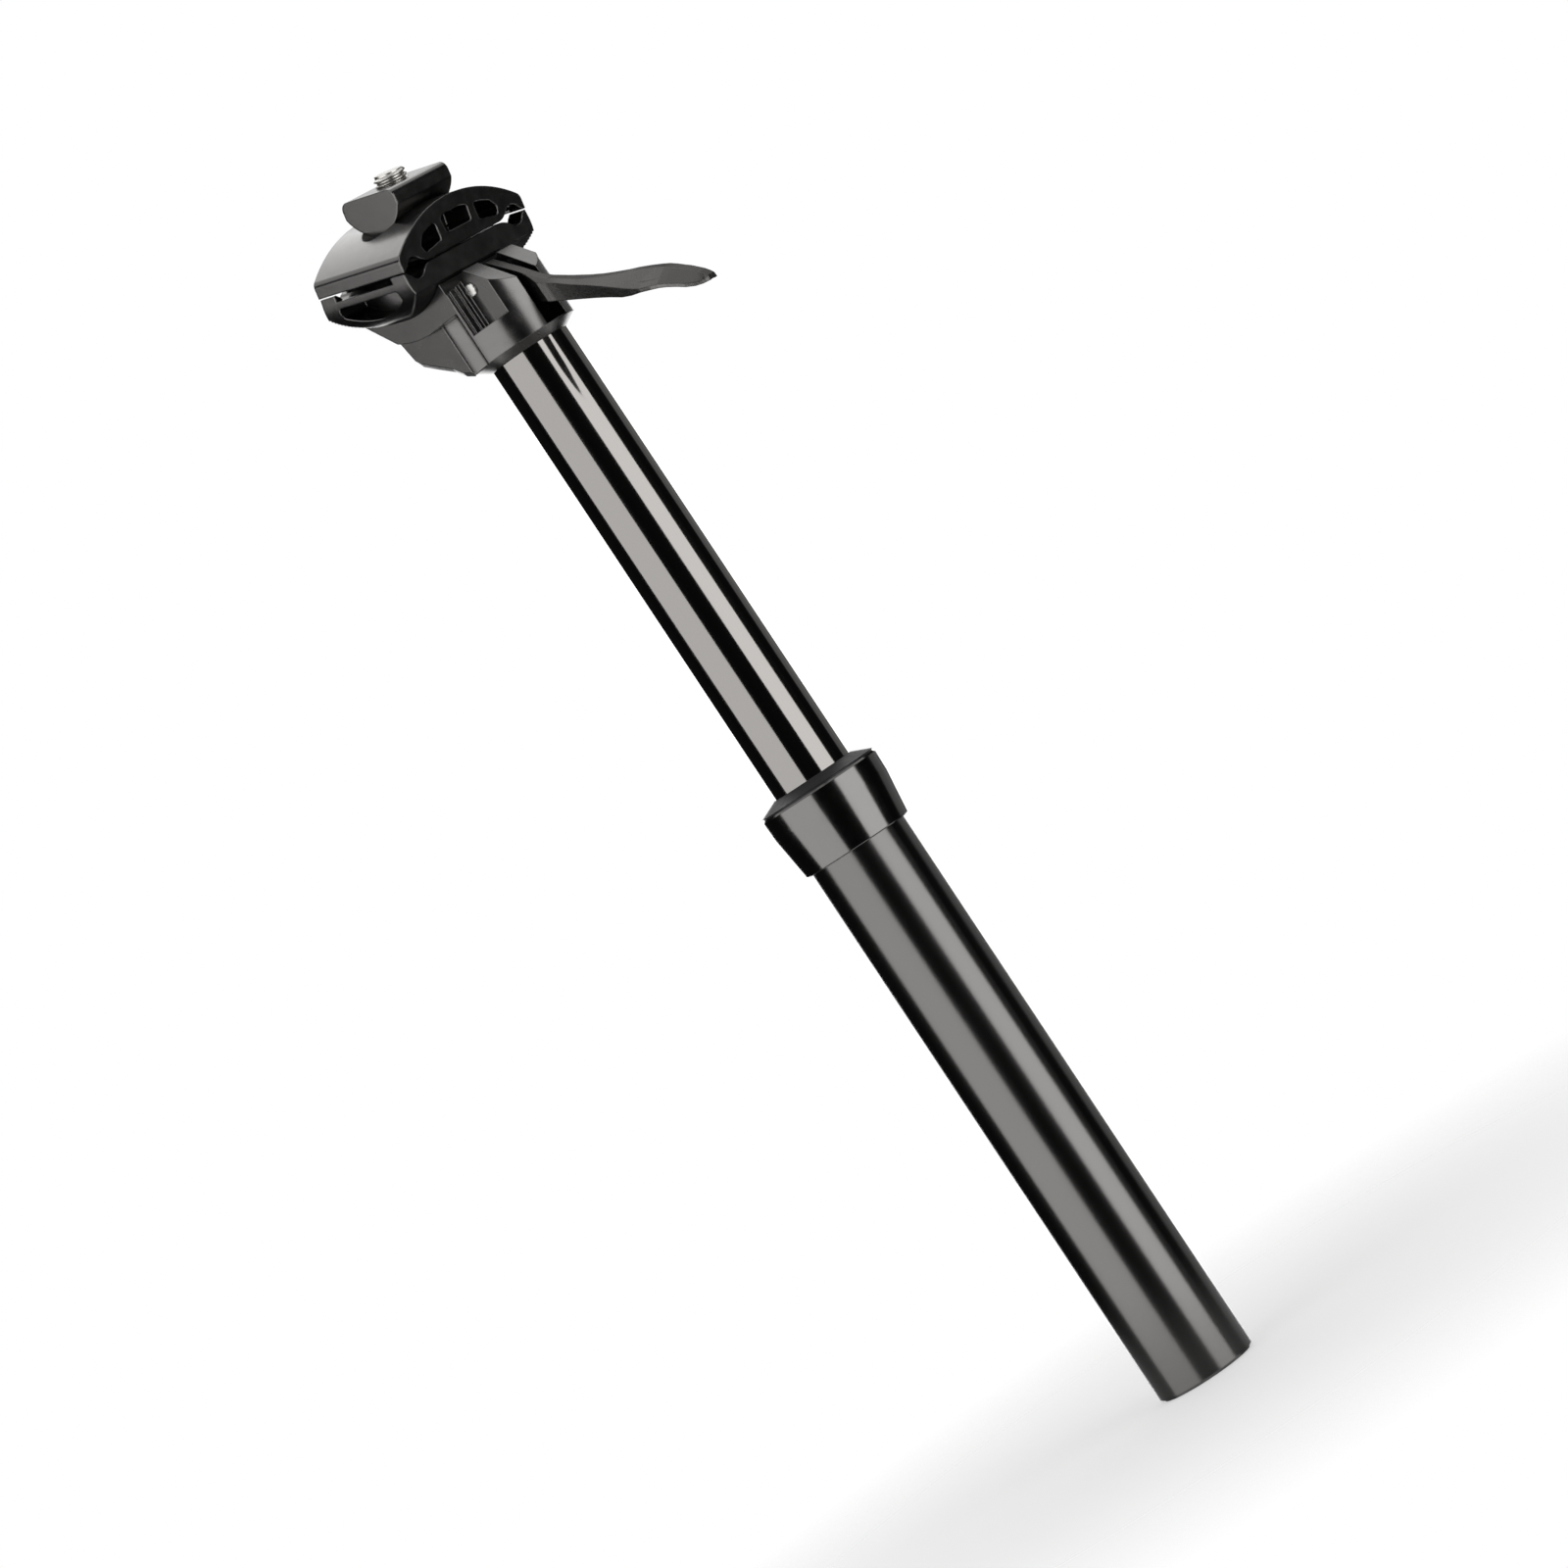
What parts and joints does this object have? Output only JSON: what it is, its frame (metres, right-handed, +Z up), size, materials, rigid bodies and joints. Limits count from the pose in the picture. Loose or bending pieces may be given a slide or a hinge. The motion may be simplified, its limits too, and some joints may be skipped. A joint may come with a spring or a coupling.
{
  "type": "dropper seatpost",
  "caption": "Telescoping bicycle seatpost with a slim polished upper tube, a release lever under the head and a tilting toothed saddle rail clamp on one cross-nut bolt.",
  "frame": {"origin": "on the tube's axis, at the lower face of the collar, which rests on top of the frame's seat tube", "axes": "+Z up the tube to the saddle, +X forward over the lever, +Y to the rider's left"},
  "size_m": [0.1082, 0.0546, 0.411],
  "materials": {
    "barrel_black": "satin black anodised",
    "collar_black": "semi-gloss black anodised",
    "stanchion_black": "polished black anodised",
    "head_black": "semi-gloss black on a forging",
    "clamp_black": "satin black anodised",
    "lever_black": "black on a fine cast texture",
    "seal_rubber": "smooth black rubber",
    "guide_plastic": "natural acetal",
    "plain_aluminium": "as turned",
    "stainless": "bright stainless",
    "black_steel": "black oxide steel",
    "rod_chrome": "hard chromed and ground",
    "key_brass": "plain brass"
  },
  "bodies": {
    "lower_post": {"barrel": "barrel_black", "barrel_end_plug": "plain_aluminium", "cylinder_bolt": "black_steel", "collar": "collar_black", "wiper_seal": "seal_rubber", "upper_bushing": "guide_plastic", "top_out_bumper": "seal_rubber", "bumper_spacer": "guide_plastic", "gas_spring_cylinder": "plain_aluminium", "gas_spring_end_cap": "plain_aluminium"},
    "upper_post": {"stanchion": "stanchion_black", "lower_guide": "guide_plastic", "anti_rotation_keys": "key_brass", "head": "head_black", "gas_spring_rod": "rod_chrome", "gas_spring_piston": "plain_aluminium", "piston_seal": "seal_rubber", "rod_lock_nut": "black_steel", "lever_pivot_pin": "stainless"},
    "release_lever": {"lever": "lever_black"},
    "valve_plunger": {"valve_pin": "stainless"},
    "clamp_base": {"lower_cradle": "clamp_black", "bolt_washer": "black_steel"},
    "clamp_screw": {"clamp_bolt": "stainless"},
    "clamp_top": {"upper_clamp": "clamp_black", "clamp_nut_bar": "clamp_black"}
  },
  "joints": [
    {"name": "post_slide", "type": "slide", "parent": "lower_post", "child": "upper_post", "axis": [0, 0, 1], "range_m": [-0.125, 0], "stiffness_N_per_m": 20, "springref_m": 0.5},
    {"name": "lever_pivot", "type": "hinge", "parent": "upper_post", "child": "release_lever", "pos_m": [0.00493, 0, 0.1892], "axis": [0, -1, 0], "range_deg": [0, 12], "stiffness_Nm_per_rad": 0.05, "springref_deg": -5.73},
    {"name": "valve_pin_slide", "type": "slide", "parent": "upper_post", "child": "valve_plunger", "axis": [0, 0, -1], "range_m": [0, 0.0012]},
    {"name": "clamp_tilt", "type": "hinge", "parent": "upper_post", "child": "clamp_base", "pos_m": [-0.01156, 0, 0.21856], "axis": [0, 1, 0], "range_deg": [-7, 7]},
    {"name": "bolt_turn", "type": "hinge", "parent": "clamp_base", "child": "clamp_screw", "pos_m": [-0.01462, 0, 0.20706], "axis": [-0.2571, 0, -0.9664], "range_deg": [0, 720]},
    {"name": "clamp_lift", "type": "slide", "parent": "clamp_base", "child": "clamp_top", "axis": [0.2571, 0, 0.9664], "range_m": [0, 0.003]}
  ],
  "couplings": [
    {"joint": "valve_pin_slide", "follows": "lever_pivot", "m_per_rad": 0.0055},
    {"joint": "bolt_turn", "follows": "clamp_lift", "rad_per_m": 4188.8}
  ]
}
